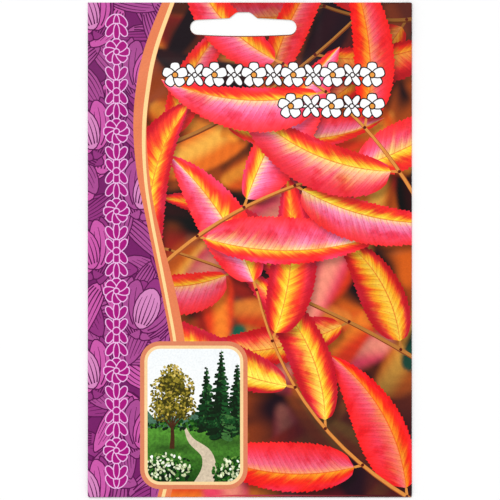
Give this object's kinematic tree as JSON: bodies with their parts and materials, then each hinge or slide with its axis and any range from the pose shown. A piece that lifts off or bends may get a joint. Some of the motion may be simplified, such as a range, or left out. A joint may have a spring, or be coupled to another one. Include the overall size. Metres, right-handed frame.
{
  "type": "seed packet",
  "caption": "Sealed flat paper seed packet with a printed front, a glued back seam and a hang slot through its pressed head.",
  "frame": {"origin": "under the middle of the packet, on the surface that it lies on", "axes": "+X to the right across the printed front, +Y towards the hang slot, +Z out of the printed front"},
  "size_m": [0.0974, 0.1488, 0.002],
  "materials": {
    "printed_front": "full-colour satin print on coated paper",
    "back_paper": "smooth coated paper, lightly tinted"
  },
  "bodies": {
    "root": {"front_panel": "printed_front", "back_panel": "back_paper", "seam_panel": "back_paper", "foot_flap": "back_paper"}
  },
  "joints": []
}
